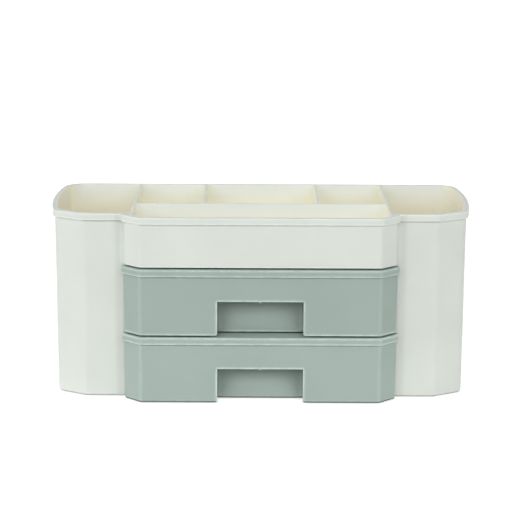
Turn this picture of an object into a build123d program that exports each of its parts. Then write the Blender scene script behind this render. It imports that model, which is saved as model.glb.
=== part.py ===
from build123d import *
import os

# Desk organizer: two side bins, a top tray with a chamfered prow and two drawers below it.
# The front faces -Y and +Z is up. The origin is on the desk top, at the middle of the whole outline.

# Body, over its rim
overall_width = 280.0
overall_height = 123.6
wing_depth = 112.0
prow_width = 180.4
prow_projection = 14.6
rim_height = 4.4
rim_proud = 1.5
rim_edge_radius = 0.6

# Plan of the wings and of the prow
side_bow = 4.6
wing_chamfer_width = 20.0
wing_chamfer_depth = 11.6
wing_crease_radius = 5.0
rear_corner_radius = 14.0
prow_chamfer_width = 11.6
prow_chamfer_depth = 11.2
prow_crease_radius = 3.0

# Walls, floors and draft of the mouldings
wall = 2.0
divider_thickness = 1.6
floor_thickness = 2.2
body_draft = 0.25
drawer_draft = 0.45
inner_fillet = 2.0
base_chamfer = 0.8

# Tray and its compartments
tray_height = 32.8
divider_setback = 6.1
middle_divider_spacing = 76.6
cross_wall_setback = 36.1

# Underside of the bins and its foot pads
base_land = 4.0
base_recess = 1.0
pad_proud = 0.6
pad_diameter = 12.0
pad_margin = 3.0

# Drawers
drawer_gap = 1.2
desk_clearance = 0.8
drawer_rim_height = 4.8
drawer_rim_proud = 1.1
drawer_front_gap = 0.6
drawer_back_gap = 2.5
flange_overhang = 4.0
flange_thickness = 2.0
drawer_corner_radius = 6.0

# Finger notch in each drawer front
notch_width = 55.9
notch_height = 22.6
notch_depth = 12.3
notch_corner_radius = 3.0
notch_mouth_radius = 1.2
rib_thickness = 1.6
rib_setback = 1.5
nub_width = 1.4
nub_height = 0.8
nub_depth = 1.4

# Runner rails
side_clearance = 0.6
run_clearance = 0.3
fit_clearance = 0.15
rail_web_height = 7.0
rail_thickness = 1.6
rail_front_setback = 5.0
rail_back_setback = 6.0
tab_length = 8.0
tab_height = 3.0
tab_inset = 14.0

# Depth by which every cutter runs past the face that it opens
overrun = 5.0

# Places worked out from the sizes above
front_y = -(wing_depth + prow_projection) / 2
wing_front_y = front_y + prow_projection
back_y = wing_front_y + wing_depth
base_z = pad_proud
bin_floor_z = base_z + base_recess + floor_thickness
tray_z = overall_height - tray_height
rim_z = overall_height - rim_height
cross_wall_y = wing_front_y + cross_wall_setback
shell_inset = rim_proud + wall
divider_spacing = prow_width - 2 * divider_setback
bay_half_width = (divider_spacing - divider_thickness) / 2
bay_back_y = back_y - shell_inset
drawer_height = (tray_z - 2 * drawer_gap - desk_clearance) / 2
upper_drawer_z = tray_z - drawer_gap
lower_drawer_z = upper_drawer_z - drawer_height - drawer_gap
drawer_back_y = bay_back_y - drawer_back_gap
drawer_shoulder_y = wing_front_y + rim_proud - drawer_front_gap
front_inside_y = front_y + drawer_rim_proud + wall
box_front_y = front_y + notch_depth
flange_half_width = bay_half_width - side_clearance
box_half_width = flange_half_width - flange_overhang
rail_front_y = wing_front_y + rim_proud + rail_front_setback
rail_back_y = bay_back_y - rail_back_setback
rail_inner_x = box_half_width + side_clearance

# The pads stand near the inner corners of the recess, clear of the front chamfer where the bin is narrow
pad_edge_gap = base_land + pad_margin
pad_x = (divider_spacing + divider_thickness + pad_diameter) / 2 + pad_edge_gap
chamfer_start_x = overall_width / 2 - side_bow - wing_chamfer_width - shell_inset - base_land
past_chamfer_start = max(0, pad_x + pad_diameter / 2 - chamfer_start_x)
pad_setback = past_chamfer_start * wing_chamfer_depth / wing_chamfer_width
front_pad_y = wing_front_y + shell_inset + pad_edge_gap + pad_diameter / 2 + pad_setback
rear_pad_y = back_y - shell_inset - pad_edge_gap - pad_diameter / 2


def plate(left, right, near, far):
    """Flat rectangle between two X and two Y places."""
    return Pos((left + right) / 2, (near + far) / 2) * Rectangle(right - left, far - near)


def block(left, right, near, far, bottom, top):
    """Box between two places on each axis."""
    return Pos(0, 0, bottom) * extrude(plate(left, right, near, far), amount=top - bottom)


def sink(plan, top, bottom, angle=0):
    """Solid that hangs from a plan at its top and narrows downwards by a draft angle in degrees."""
    solid = Pos(0, 0, bottom) * extrude(plan, amount=top - bottom)
    if not angle:
        return solid
    sides = solid.faces().filter_by(Plane.XY, reverse=True)
    return draft(sides, Plane.XY.offset(top), -angle)


def rounded_floor(cutter, radius):
    """Cutter with its lowest edges rounded, so that the floor it leaves meets the walls in a fillet."""
    return fillet(cutter.edges().group_by(Axis.Z)[0], radius)


def rounded_rim(band):
    """Rim band with its upper outer edge rounded."""
    return fillet(band.edges().group_by(Axis.Z)[-1], rim_edge_radius)


def wing_plan(drawn_in=0):
    """Outline of both wings, drawn in from the rim: chamfered front, bowed sides and round rear corners."""
    half = overall_width / 2
    side_x = half - side_bow
    crease_x = side_x - wing_chamfer_width
    side_y = wing_front_y + wing_chamfer_depth
    middle_y = (side_y + back_y) / 2
    outline = make_face([
        Line((-crease_x, wing_front_y), (crease_x, wing_front_y)),
        Line((crease_x, wing_front_y), (side_x, side_y)),
        ThreePointArc((side_x, side_y), (half, middle_y), (side_x, back_y)),
        Line((side_x, back_y), (-side_x, back_y)),
        ThreePointArc((-side_x, back_y), (-half, middle_y), (-side_x, side_y)),
        Line((-side_x, side_y), (-crease_x, wing_front_y)),
    ])
    outline = inset(outline, drawn_in)
    rear_corners = outline.vertices().group_by(Axis.Y)[-1]
    outline = fillet(rear_corners, rear_corner_radius - drawn_in)
    return fillet(creases(outline), wing_crease_radius)


def prow_plan(rear, drawn_in=0, crease_radius=prow_crease_radius):
    """Outline of the prow, from its flat front back to the rear line, drawn in from the rim."""
    half = prow_width / 2
    outline = Polygon(
        (-half + prow_chamfer_width, front_y),
        (half - prow_chamfer_width, front_y),
        (half, front_y + prow_chamfer_depth),
        (half, rear + drawn_in),
        (-half, rear + drawn_in),
        (-half, front_y + prow_chamfer_depth),
        align=None,
    )
    return fillet(creases(inset(outline, drawn_in)), crease_radius)


def creases(outline):
    """The four corners of a plan that end its two front chamfers."""
    front_rows = outline.vertices().group_by(Axis.Y)[:2]
    return [corner for row in front_rows for corner in row]


def inset(plan, amount):
    """Plan drawn in by an even amount."""
    return offset(plan, -amount) if amount else plan


def make_body():
    """One moulding: bins, tray with its dividers, rim and the bay for the drawers."""
    wings = sink(wing_plan(rim_proud), overall_height, base_z, body_draft)
    body = chamfer(wings.edges().group_by(Axis.Z)[0], base_chamfer)
    body += sink(prow_plan(cross_wall_y, rim_proud), overall_height, tray_z, body_draft)
    body += rounded_rim(sink(wing_plan() + prow_plan(cross_wall_y), overall_height, rim_z))
    body -= block(-bay_half_width, bay_half_width, front_y - overrun, bay_back_y, -overrun, tray_z)

    divider_x = divider_spacing / 2
    half_divider = divider_thickness / 2
    reach = overall_width / 2
    inside = wing_plan(shell_inset)
    for side in (-1, 1):
        edges = sorted((side * (divider_x + half_divider), side * reach))
        bin_inside = inside & plate(*edges, wing_front_y, back_y)
        body -= rounded_floor(sink(bin_inside, overall_height, bin_floor_z, body_draft), inner_fillet)
        body -= sink(inset(bin_inside, base_land), base_z + base_recess, base_z)

    tray_inside = inside + prow_plan(cross_wall_y, shell_inset)
    middle_x = middle_divider_spacing / 2
    rear_y = cross_wall_y + half_divider
    compartments = [
        plate(-bay_half_width, bay_half_width, front_y, cross_wall_y - half_divider),
        plate(-bay_half_width, -middle_x - half_divider, rear_y, back_y),
        plate(-middle_x + half_divider, middle_x - half_divider, rear_y, back_y),
        plate(middle_x + half_divider, bay_half_width, rear_y, back_y),
    ]
    for compartment in compartments:
        space = sink(tray_inside & compartment, overall_height, tray_z + floor_thickness, body_draft)
        body -= rounded_floor(space, inner_fillet)

    for rail_z in (upper_drawer_z, lower_drawer_z):
        for side in (-1, 1):
            body -= rail_tabs(side, rail_z, fit_clearance, overrun)
    return body


def make_drawer(top):
    """One drawer: a box that hangs by its flange, with a hollow front open below and a finger notch."""
    bottom = top - drawer_height
    front_plan = prow_plan(drawer_shoulder_y, drawer_rim_proud)
    box_plan = plate(-box_half_width, box_half_width, box_front_y, drawer_back_y)
    rear_corners = box_plan.vertices().group_by(Axis.Y)[-1]
    box_plan = fillet(rear_corners, drawer_corner_radius)
    flange_plan = plate(-flange_half_width, flange_half_width, box_front_y, drawer_back_y)

    drawer = sink(front_plan, top, bottom, drawer_draft) + sink(box_plan, top, bottom, drawer_draft)
    drawer += rounded_rim(sink(prow_plan(drawer_shoulder_y), top, top - drawer_rim_height))
    drawer += sink(flange_plan, top, top - flange_thickness)
    inside = sink(inset(box_plan, wall), top, bottom + floor_thickness, drawer_draft)
    drawer -= rounded_floor(inside, inner_fillet)

    for cell in front_cells(box_plan):
        drawer -= sink(cell, top - flange_thickness, bottom - overrun)
    rib_reach = notch_width / 2 + rib_thickness
    drawer -= block(
        -rib_reach, rib_reach, front_inside_y, box_front_y, bottom - overrun, bottom + rib_setback
    )
    drawer -= notch_cutter(bottom)
    return drawer + notch_nub(bottom + notch_height)


def front_cells(box_plan):
    """Plans of the three hollows behind a drawer front, parted by the ribs beside the finger notch."""
    hollow = prow_plan(drawer_shoulder_y - wall, drawer_rim_proud + wall, prow_crease_radius - wall) - box_plan
    half_notch = notch_width / 2
    rib_reach = half_notch + rib_thickness
    finger_space = plate(-half_notch, half_notch, front_inside_y, box_front_y)
    finger_space = fillet(finger_space.vertices().group_by(Axis.Y)[-1], notch_corner_radius)
    side_spaces = hollow - plate(-rib_reach, rib_reach, front_y, drawer_shoulder_y)
    return [finger_space, *side_spaces.faces()]


def notch_cutter(bottom):
    """Cutter for the finger notch, which leaves round lower corners on both sides of its mouth."""
    half_notch = notch_width / 2
    profile = plate(-half_notch, half_notch, bottom - overrun, bottom + notch_height)
    round_x = half_notch + notch_mouth_radius
    round_z = bottom + notch_mouth_radius
    profile += plate(-round_x, round_x, bottom - overrun, round_z)
    for side in (-1, 1):
        profile -= Pos(side * round_x, round_z) * Circle(notch_mouth_radius)
    cutter = extrude(Plane.XZ * profile, amount=front_inside_y - front_y + overrun)
    return Pos(0, front_inside_y, 0) * cutter


def notch_nub(notch_top):
    """Small nub that the mould leaves at the middle of the notch's upper edge."""
    half_nub = nub_width / 2
    near_y = front_inside_y - nub_depth
    return block(-half_nub, half_nub, near_y, front_inside_y, notch_top - nub_height, notch_top + nub_height)


def rail_tabs(side, drawer_z, grow, reach):
    """Two tabs of a rail, or with grow and reach the slots that take them."""
    centre_z = drawer_z - flange_thickness - run_clearance - rail_web_height / 2
    half_height = tab_height / 2 + grow
    half_length = tab_length / 2 + grow
    edges = sorted((side * (bay_half_width - reach), side * (bay_half_width + divider_thickness + reach)))
    tabs = Part()
    for centre_y in (rail_front_y + tab_inset, rail_back_y - tab_inset):
        tabs += block(
            *edges, centre_y - half_length, centre_y + half_length,
            centre_z - half_height, centre_z + half_height,
        )
    return tabs


def make_rail(side, drawer_z):
    """Angle strip on the bay wall: a web with tabs through the wall and a ledge under the drawer flange."""
    ledge_z = drawer_z - flange_thickness - run_clearance
    web = sorted((side * (bay_half_width - rail_thickness), side * bay_half_width))
    ledge = sorted((side * rail_inner_x, side * bay_half_width))
    rail = block(*web, rail_front_y, rail_back_y, ledge_z - rail_web_height, ledge_z)
    rail += block(*ledge, rail_front_y, rail_back_y, ledge_z - rail_thickness, ledge_z)
    return rail + rail_tabs(side, drawer_z, 0, 0)


def make_pad(side, place_y):
    """Round foot pad, stuck in the recess under a bin."""
    return Pos(side * pad_x, place_y) * extrude(Circle(pad_diameter / 2), amount=pad_proud + base_recess)


parts = {
    "body": make_body(),
    "upper_drawer": make_drawer(upper_drawer_z),
    "lower_drawer": make_drawer(lower_drawer_z),
}
for side_name, side in (("left", -1), ("right", 1)):
    parts[f"upper_{side_name}_rail"] = make_rail(side, upper_drawer_z)
    parts[f"lower_{side_name}_rail"] = make_rail(side, lower_drawer_z)
    parts[f"front_{side_name}_pad"] = make_pad(side, front_pad_y)
    parts[f"rear_{side_name}_pad"] = make_pad(side, rear_pad_y)

os.makedirs("parts", exist_ok=True)
for name, shape in parts.items():
    export_step(shape, os.path.join("parts", name + ".step"))
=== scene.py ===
from collections import namedtuple
from math import cos, radians, sin

import bpy
from mathutils import Matrix, Vector

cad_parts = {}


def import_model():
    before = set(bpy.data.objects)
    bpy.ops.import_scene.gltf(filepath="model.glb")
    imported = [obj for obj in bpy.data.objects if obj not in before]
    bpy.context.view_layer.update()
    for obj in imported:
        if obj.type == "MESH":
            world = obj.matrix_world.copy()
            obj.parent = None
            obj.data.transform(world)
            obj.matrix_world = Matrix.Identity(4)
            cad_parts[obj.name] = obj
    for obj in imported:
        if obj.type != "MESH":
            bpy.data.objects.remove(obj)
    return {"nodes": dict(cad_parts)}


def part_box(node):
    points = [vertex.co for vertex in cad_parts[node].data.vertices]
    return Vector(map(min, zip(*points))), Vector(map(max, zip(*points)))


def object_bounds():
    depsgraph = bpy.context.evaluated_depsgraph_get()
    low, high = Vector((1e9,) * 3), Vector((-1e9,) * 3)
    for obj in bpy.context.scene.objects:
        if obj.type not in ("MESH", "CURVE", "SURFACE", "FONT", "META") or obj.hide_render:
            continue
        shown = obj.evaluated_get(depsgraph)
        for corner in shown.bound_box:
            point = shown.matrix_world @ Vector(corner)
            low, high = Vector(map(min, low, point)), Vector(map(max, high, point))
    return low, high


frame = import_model()
cad_low, cad_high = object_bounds()

MM = 0.001
SIDES = ("left", "right")
ENDS = ("front", "rear")

# Ways in which a share runs over a span
RISE = (0.0, 1.0)
FALL = (1.0, 0.0)

# A noise has a scale per metre and a number of finer layers. Its values lie mostly in the span.
Noise = namedtuple("Noise", "scale detail")
NOISE_SPAN = (0.3, 0.7)

# The picture is square. Lengths in pixels are pixels of that picture.
PICTURE_PX = 521
FOCAL_PX = 1780.8
SENSOR = 36.0

# The camera's place in the frame, and the way it looks in radians
CAMERA_PLACE = Vector((-3.0, -1178.0, 343.7)) * MM
CAMERA_YAW = 0.0026
CAMERA_PITCH = 0.2185
CAMERA_ROLL = 0.0049

# Soft boxes: degrees round the object from its front, degrees above the floor, size in metres, and watts
SoftBox = namedtuple("SoftBox", "azimuth elevation width height power")
SOFT_BOXES = {
    "front": SoftBox(azimuth=0, elevation=33, width=4.4, height=1.0, power=34.5),
    "left": SoftBox(azimuth=-75, elevation=20, width=0.9, height=0.9, power=8.6),
    "right": SoftBox(azimuth=75, elevation=20, width=0.9, height=0.9, power=3.6),
    "rear_left": SoftBox(azimuth=-132, elevation=15, width=0.9, height=0.9, power=5.0),
    "rear_right": SoftBox(azimuth=132, elevation=15, width=0.9, height=0.9, power=3.8),
}
SOFT_BOX_DISTANCE = 1.8

# The room is white where it is seen directly, and gives this share of that as light
PURE_WHITE = (1.0, 1.0, 1.0)
ROOM_LIGHT = 0.17

# Floor: near the object it is white paper, further off it throws less light back
FLOOR_HALF = 6.0
NEAR_TO_FAR = (0.2, 0.5)
NEAR_PAPER = (0.90, 0.94)
FAR_PAPER = 0.45
FLOOR_GLOW = (0.6, 1.0)
FIBRES = Noise(scale=900.0, detail=3.0)
PAPER_ROUGHNESS = (0.8, 0.95)

# Colours of the plastics and the rubber
WHITE = (0.705, 0.745, 0.692)
# Painted shade on the wings beside the prow
WHITE_PAINTED_SHADE = (0.465, 0.484, 0.40)
# Painted bounce light in the hollows of the white plastic
CREAM = (0.955, 0.91, 0.735)
IVORY = (0.825, 0.865, 0.82)
GREY_GREEN = (0.346, 0.426, 0.39)
GREY_GREEN_INSIDE = (0.36, 0.44, 0.40)
RUBBER = (0.09, 0.09, 0.09)

# Shares of those colours: the upper drawer is a shade darker than the lower one
DRAWER_TONES = {"upper": 0.965, "lower": 1.035}
# Share of the drawer colour in the painted shade of the finger recesses
RECESS_PAINTED_SHADE = 0.64
RAIL_TONE = 0.95

# Colours of one plastic: outside, outside with painted shade, and painted bounce light in hollows, on their
# floors and at their mouth
Plastic = namedtuple("Plastic", "outside corner hollow mouth")

# Surface of each plastic: roughness, strength of the grain, reach of its painted edge highlights, and the
# share of its colour that the painted edge highlights and the painted shade on the edges next to the desk
# have
Finish = namedtuple("Finish", "rough grain edge_radius pale soiled")
BODY_FINISH = Finish(rough=0.42, grain=0.12, edge_radius=2.0 * MM, pale=1.28, soiled=0.62)
DRAWER_FINISH = Finish(rough=0.45, grain=0.14, edge_radius=3.0 * MM, pale=1.9, soiled=0.2)
RAIL_FINISH = Finish(rough=0.36, grain=0.08, edge_radius=0.3 * MM, pale=1.1, soiled=0.62)
# Heights over the desk between which the painted shade on the lowest edges fades out
NEXT_TO_DESK = (1.2 * MM, 2.1 * MM)
PLASTIC_IOR = 1.47

# Noise in the plastics: clouds from the flow in the mould, patches of gloss, stretches of painted edge
# highlight and wear, and fine grain
CLOUDS = Noise(scale=26.0, detail=3.0)
CLOUD_TONES = (0.975, 1.02)
PATCHES = Noise(scale=70.0, detail=4.0)
PATCH_ROUGHNESS = 0.05
HIGHLIGHT_AND_WEAR = Noise(scale=160.0, detail=2.0)
HIGHLIGHT_AND_WEAR_SPAN = (0.35, 0.65)
HIGHLIGHT_AND_WEAR_SHARES = (0.6, 0.95)
WEAR_GLOSS = 0.08
GRAIN = Noise(scale=1900.0, detail=2.0)
GRAIN_HEIGHT = 0.1 * MM

# Edges: samples and radius of the soft edge, and the cosines of soft to true normal that mark an edge
EDGE_SAMPLES = 6
SOFT_EDGE = 0.25 * MM
EDGE_SPAN = (0.90, 0.995)

# Share of open sky over a point, and the spans of it in hollows, hollow corners, recesses and at free edges
SKY_SAMPLES = 8
SKY_REACH = 120 * MM
HOLLOW_SKY = (0.62, 0.8)
CORNER_SKY = (0.24, 0.36)
RECESS_SKY = (0.66, 0.85)
FREE_EDGE_SKY = (0.7, 0.92)

# Painted bounce light in hollows: warm at a middle height, on side walls and in corners, and pale on floors
# and at the mouth
RIM_TOP = cad_high.z
WARMEST = RIM_TOP - 24 * MM
HOLLOW_LOW = (RIM_TOP - 70 * MM, WARMEST)
HOLLOW_HIGH = (WARMEST, RIM_TOP)
BELOW_RIM = (RIM_TOP - 8 * MM, RIM_TOP - 3 * MM)
FLOOR_FACING = (0.5, 0.9)
SIDE_FACING = (0.35, 0.9)
SIDE_WARMTH = 0.8
CORNER_WARMTH = 0.6
FLOOR_PALENESS = 0.7

# Planes just behind the finger recesses and the fronts of the wings
PLANE_BLUR = 0.5 * MM
RECESS_PLANE = cad_low.y + 12.8 * MM
WING_PLANE = cad_low.y + 16.8 * MM

# Painted shade on the wings: it grows from the side of the prow to a peak and fades again
PROW_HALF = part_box("upper_drawer")[1].x
OUTSIDE_PROW = (PROW_HALF - 4 * MM, PROW_HALF - 3 * MM)
SHADE_PEAK = PROW_HALF + 2.5 * MM
SHADE_RISE = (PROW_HALF, SHADE_PEAK)
SHADE_FALL = (SHADE_PEAK, PROW_HALF + 6.5 * MM)
SHADE_SHARE = 0.26

# Painted highlight on the upright creases of the drawer fronts, a little over their width
CREASE_X = PROW_HALF - 12.4 * MM
CREASE_SPAN = (0.0, 2.0 * MM)
CREASE_HIGHLIGHT = 0.17

# Rubber: dusty patches and fine pits
DUST = Noise(scale=240.0, detail=5.0)
DUST_SPAN = (0.4, 0.75)
DUST_TONES = (0.9, 1.35)
DUST_ROUGHNESS = (0.75, 0.92)
PITS = Noise(scale=1400.0, detail=3.0)
PIT_STRENGTH = 0.35
PIT_DEPTH = 0.2 * MM

# Sockets of one point on a surface: its place and normal, both along the axes too, and the open sky over it
Spot = namedtuple("Spot", "point normal place facing openness")


class Nodes:
    """Short way to add shader nodes to one material or world."""

    def __init__(self, owner):
        owner.use_nodes = True
        self.tree = owner.node_tree
        self.tree.nodes.clear()

    def put(self, socket, value):
        """Link an output to a socket, or set the socket to a plain value. Colours get full alpha."""
        if isinstance(value, bpy.types.NodeSocket):
            self.tree.links.new(value, socket)
        elif socket.type == "RGBA":
            socket.default_value = (*value, 1.0)
        else:
            socket.default_value = value

    def add(self, kind, *values, settings=None, **inputs):
        """New node. Values go to its first sockets in their order, inputs go to sockets by name."""
        node = self.tree.nodes.new(kind)
        for name, setting in (settings or {}).items():
            setattr(node, name, setting)
        for socket, value in zip(node.inputs, values):
            self.put(socket, value)
        for name, value in inputs.items():
            self.put(node.inputs[name.replace("_", " ")], value)
        return node

    def math(self, operation, *values):
        return self.add("ShaderNodeMath", *values, settings={"operation": operation}).outputs["Value"]

    def measure(self, operation, *vectors):
        """Number that an operation on vectors gives."""
        node = self.add("ShaderNodeVectorMath", *vectors, settings={"operation": operation})
        return node.outputs["Value"]

    def both(self, first, second):
        """Product of two shares."""
        return self.math("MULTIPLY", first, second)

    def either(self, first, second):
        """Larger of two shares."""
        return self.math("MAXIMUM", first, second)

    def ramp(self, value, span, to=RISE):
        """Value taken smoothly from one range to another, held at both ends."""
        smooth = {"interpolation_type": "SMOOTHSTEP"}
        return self.add("ShaderNodeMapRange", value, *span, *to, settings=smooth).outputs["Result"]

    def mix(self, share, first, second):
        """Colour that goes from the first to the second as the share grows."""
        node = self.add("ShaderNodeMix", settings={"data_type": "RGBA"}, Factor=share, A=first, B=second)
        return node.outputs["Result"]

    def noise(self, where, noise):
        node = self.add("ShaderNodeTexNoise", Vector=where, Scale=noise.scale, Detail=noise.detail)
        return node.outputs["Fac"]

    def axes(self, vector):
        return self.add("ShaderNodeSeparateXYZ", Vector=vector).outputs

    def rounded(self, radius):
        """Normals of the surface with its edges rounded."""
        node = self.add("ShaderNodeBevel", settings={"samples": EDGE_SAMPLES}, Radius=radius)
        return node.outputs["Normal"]

    def bump(self, **inputs):
        return self.add("ShaderNodeBump", **inputs).outputs["Normal"]

    def skin(self, **inputs):
        return self.add("ShaderNodeBsdfPrincipled", **inputs).outputs["BSDF"]

    def surface(self, shader, kind="ShaderNodeOutputMaterial"):
        self.add(kind, Surface=shader)


def new_material(name):
    """Empty material, its nodes and the place of a point in the frame."""
    material = bpy.data.materials.new(name)
    n = Nodes(material)
    return material, n, n.add("ShaderNodeTexCoord").outputs["Object"]


def toned(colour, share):
    """Colour made lighter or darker by a share."""
    return tuple(min(1.0, part * share) for part in colour)


def before(n, spot, plane):
    """Share by which a spot lies in front of a plane."""
    return n.ramp(spot.place["Y"], (plane - PLANE_BLUR, plane + PLANE_BLUR), FALL)


def drawer_front(n, spot):
    """Front of a drawer, the painted shade at the sides and top of its finger recess, and the painted
    highlight on its creases.
    """
    at_front = before(n, spot, RECESS_PLANE)
    across = n.math("ABSOLUTE", spot.place["X"])
    from_crease = n.math("ABSOLUTE", n.math("SUBTRACT", across, CREASE_X))
    crease_highlight = n.both(at_front, n.ramp(from_crease, CREASE_SPAN, (CREASE_HIGHLIGHT, 0.0)))
    return at_front, n.ramp(spot.openness, RECESS_SKY, FALL), crease_highlight


def wing_fronts(n, spot):
    """Fronts of the wings, and the painted shade on them beside the prow and the drawers. No crease
    highlight is painted.
    """
    across = n.math("ABSOLUTE", spot.place["X"])
    at_front = n.both(before(n, spot, WING_PLANE), n.ramp(across, OUTSIDE_PROW))
    shaded = n.both(n.ramp(across, SHADE_RISE), n.ramp(across, SHADE_FALL, (SHADE_SHARE, 0.0)))
    return at_front, shaded, 0.0


def in_hollow(n, spot, at_front):
    """Share by which a spot lies in a hollow: little sky over it, or a floor below the rim."""
    enclosed = n.both(n.ramp(spot.openness, HOLLOW_SKY, FALL), n.math("SUBTRACT", 1.0, at_front))
    on_floor = n.both(n.ramp(spot.facing["Z"], FLOOR_FACING), n.ramp(spot.place["Z"], BELOW_RIM, FALL))
    return n.either(enclosed, on_floor)


def hollow_tone(n, spot, plastic):
    """Painted bounce light in a hollow: colour for the light that comes to the walls from the walls
    opposite.
    """
    tone = n.mix(n.ramp(spot.place["Z"], HOLLOW_LOW), plastic.mouth, plastic.hollow)
    tone = n.mix(n.ramp(spot.place["Z"], HOLLOW_HIGH), tone, plastic.mouth)
    sideways = n.ramp(n.math("ABSOLUTE", spot.facing["X"]), SIDE_FACING, (0.0, SIDE_WARMTH))
    cornered = n.ramp(spot.openness, CORNER_SKY, (CORNER_WARMTH, 0.0))
    tone = n.mix(n.either(sideways, cornered), tone, plastic.hollow)
    return n.mix(n.ramp(spot.facing["Z"], FLOOR_FACING, (0.0, FLOOR_PALENESS)), tone, plastic.mouth)


def edge_highlights_and_wear(n, spot, crease_highlight, radius):
    """Share of painted highlight on a free edge or crease, where wear also adds a little gloss, more in some
    stretches.
    """
    at_edge = n.ramp(n.measure("DOT_PRODUCT", n.rounded(radius), spot.normal), EDGE_SPAN, FALL)
    free_edge = n.both(at_edge, n.ramp(spot.openness, FREE_EDGE_SKY))
    stretches = n.ramp(n.noise(spot.point, HIGHLIGHT_AND_WEAR), HIGHLIGHT_AND_WEAR_SPAN, HIGHLIGHT_AND_WEAR_SHARES)
    return n.both(n.either(free_edge, crease_highlight), stretches)


def moulded_plastic(name, plastic, front, finish):
    """Injection moulded plastic: faint clouds, painted bounce light in hollows, painted shade, a fine matt
    grain, and soft edges with painted highlights and wear.
    """
    material, n, where = new_material(name)
    normal = n.add("ShaderNodeNewGeometry").outputs["Normal"]
    sky_settings = {"samples": SKY_SAMPLES, "only_local": True}
    sky = n.add("ShaderNodeAmbientOcclusion", settings=sky_settings, Distance=SKY_REACH)
    spot = Spot(where, normal, n.axes(where), n.axes(normal), sky.outputs["AO"])

    clouds = n.ramp(n.noise(where, CLOUDS), NOISE_SPAN)
    base = n.mix(clouds, *(toned(plastic.outside, tone) for tone in CLOUD_TONES))
    at_front, shaded, crease_highlight = front(n, spot)
    # Painted shade beside the prow and in the finger recesses
    base = n.mix(n.both(at_front, shaded), base, plastic.corner)
    # Painted bounce light in hollows
    base = n.mix(in_hollow(n, spot, at_front), base, hollow_tone(n, spot, plastic))
    highlight_and_wear = edge_highlights_and_wear(n, spot, crease_highlight, finish.edge_radius)
    # Painted highlight on free edges and creases
    base = n.mix(highlight_and_wear, base, toned(plastic.outside, finish.pale))
    # Painted shade along the lowest edges next to the desk
    next_to_desk = n.ramp(spot.place["Z"], NEXT_TO_DESK, FALL)
    base = n.mix(next_to_desk, base, toned(plastic.outside, finish.soiled))

    patch_span = (finish.rough - PATCH_ROUGHNESS, finish.rough + PATCH_ROUGHNESS)
    roughness = n.ramp(n.noise(where, PATCHES), NOISE_SPAN, patch_span)
    roughness = n.math("SUBTRACT", roughness, n.both(highlight_and_wear, WEAR_GLOSS))

    soft = n.rounded(SOFT_EDGE)
    grain = n.bump(Strength=finish.grain, Distance=GRAIN_HEIGHT, Height=n.noise(where, GRAIN), Normal=soft)
    n.surface(n.skin(Base_Color=base, Roughness=roughness, IOR=PLASTIC_IOR, Normal=grain))
    return material


def foot_rubber(name, colour):
    """Matt rubber with fine pits and dusty patches."""
    material, n, where = new_material(name)
    dust = n.ramp(n.noise(where, DUST), DUST_SPAN)
    base = n.mix(dust, *(toned(colour, tone) for tone in DUST_TONES))
    roughness = n.ramp(dust, RISE, DUST_ROUGHNESS)
    pitted = n.bump(Strength=PIT_STRENGTH, Distance=PIT_DEPTH, Height=n.noise(where, PITS))
    n.surface(n.skin(Base_Color=base, Roughness=roughness, Normal=pitted))
    return material


def paint(node_names, material):
    """Give one material to CAD nodes."""
    for name in node_names:
        slots = frame["nodes"][name].data.materials
        slots.clear()
        slots.append(material)


def paint_object():
    """Materials of all the nodes."""
    white = Plastic(WHITE, WHITE_PAINTED_SHADE, CREAM, IVORY)
    paint(["body"], moulded_plastic("white_plastic", white, wing_fronts, BODY_FINISH))

    for level, tone in DRAWER_TONES.items():
        outside = toned(GREY_GREEN, tone)
        corner = toned(GREY_GREEN, tone * RECESS_PAINTED_SHADE)
        inside = toned(GREY_GREEN_INSIDE, tone)
        grey_green = Plastic(outside, corner, inside, inside)
        plastic = moulded_plastic(f"{level}_grey_green_plastic", grey_green, drawer_front, DRAWER_FINISH)
        paint([f"{level}_drawer"], plastic)

    rail_white = white._replace(outside=toned(WHITE, RAIL_TONE))
    rail_plastic = moulded_plastic("rail_plastic", rail_white, wing_fronts, RAIL_FINISH)
    paint([f"{level}_{side}_rail" for level in DRAWER_TONES for side in SIDES], rail_plastic)
    paint([f"{end}_{side}_pad" for end in ENDS for side in SIDES], foot_rubber("foot_rubber", RUBBER))


def seen_directly(n):
    """One for rays from the camera or a glossy surface, otherwise nought."""
    path = n.add("ShaderNodeLightPath").outputs
    return n.either(path["Is Camera Ray"], path["Is Glossy Ray"])


def floor_paper(name):
    """White paper. The camera and reflections see it lit up to white; it throws no more light for that."""
    material, n, where = new_material(name)
    distance = n.measure("LENGTH", where)
    fibres = n.noise(where, FIBRES)
    near = n.mix(fibres, *(toned(PURE_WHITE, tone) for tone in NEAR_PAPER))
    sheet = n.mix(n.ramp(distance, NEAR_TO_FAR), near, toned(PURE_WHITE, FAR_PAPER))
    paper = n.skin(Base_Color=sheet, Roughness=n.ramp(fibres, NOISE_SPAN, PAPER_ROUGHNESS))
    strength = n.ramp(distance, NEAR_TO_FAR, FLOOR_GLOW)
    glow = n.add("ShaderNodeEmission", Color=PURE_WHITE, Strength=strength).outputs["Emission"]
    lit = n.add("ShaderNodeAddShader", paper, glow).outputs["Shader"]
    n.surface(n.add("ShaderNodeMixShader", seen_directly(n), paper, lit).outputs["Shader"])
    return material


def make_floor():
    """Plain pale floor."""
    mesh = bpy.data.meshes.new("floor")
    corners = [(x * FLOOR_HALF, y * FLOOR_HALF, 0) for x, y in ((-1, -1), (1, -1), (1, 1), (-1, 1))]
    mesh.from_pydata(corners, [], [range(len(corners))])
    mesh.materials.append(floor_paper("floor_paper"))
    floor = bpy.data.objects.new("floor", mesh)
    bpy.context.scene.collection.objects.link(floor)


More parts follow.
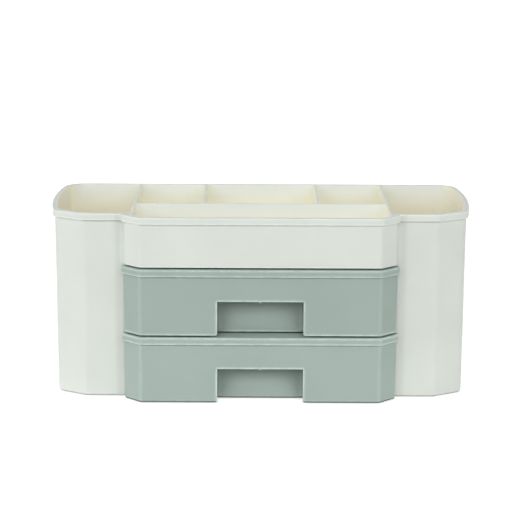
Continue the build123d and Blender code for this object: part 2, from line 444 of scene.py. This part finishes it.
def make_world():
    """Even soft room light, white where it is seen directly."""
    world = bpy.data.worlds.new("room")
    n = Nodes(world)
    strength = n.ramp(seen_directly(n), RISE, (ROOM_LIGHT, 1.0))
    sky = n.add("ShaderNodeBackground", Color=PURE_WHITE, Strength=strength)
    n.surface(sky.outputs["Background"], "ShaderNodeOutputWorld")
    bpy.context.scene.world = world


def hang_soft_box(name, box):
    """Area lamp that faces the middle of the object."""
    turn, rise = radians(box.azimuth), radians(box.elevation)
    away = Vector((sin(turn) * cos(rise), -cos(turn) * cos(rise), sin(rise)))
    lamp = bpy.data.lights.new(name, "AREA")
    lamp.shape = "RECTANGLE"
    lamp.size = box.width
    lamp.size_y = box.height
    lamp.energy = box.power
    hung = bpy.data.objects.new(name, lamp)
    hung.location = (cad_low + cad_high) / 2 + away * SOFT_BOX_DISTANCE
    hung.rotation_euler = (-away).to_track_quat("-Z", "Y").to_euler()
    bpy.context.scene.collection.objects.link(hung)


def make_camera():
    """Camera at the photographed angle."""
    forward = Vector((
        sin(CAMERA_YAW) * cos(CAMERA_PITCH),
        cos(CAMERA_YAW) * cos(CAMERA_PITCH),
        -sin(CAMERA_PITCH),
    ))
    level = Vector((cos(CAMERA_YAW), -sin(CAMERA_YAW), 0.0))
    upright = level.cross(forward)
    right = cos(CAMERA_ROLL) * level + sin(CAMERA_ROLL) * upright
    up = -sin(CAMERA_ROLL) * level + cos(CAMERA_ROLL) * upright
    data = bpy.data.cameras.new("camera")
    data.sensor_width = SENSOR
    data.lens = FOCAL_PX * SENSOR / PICTURE_PX
    camera = bpy.data.objects.new("camera", data)
    turn = Matrix((right, up, -forward)).transposed()
    camera.matrix_world = Matrix.Translation(CAMERA_PLACE) @ turn.to_4x4()
    bpy.context.scene.collection.objects.link(camera)
    bpy.context.scene.camera = camera


paint_object()
make_floor()
make_world()
for box_name, soft_box in SOFT_BOXES.items():
    hang_soft_box(box_name, soft_box)
make_camera()
bpy.context.scene.view_settings.view_transform = "Standard"
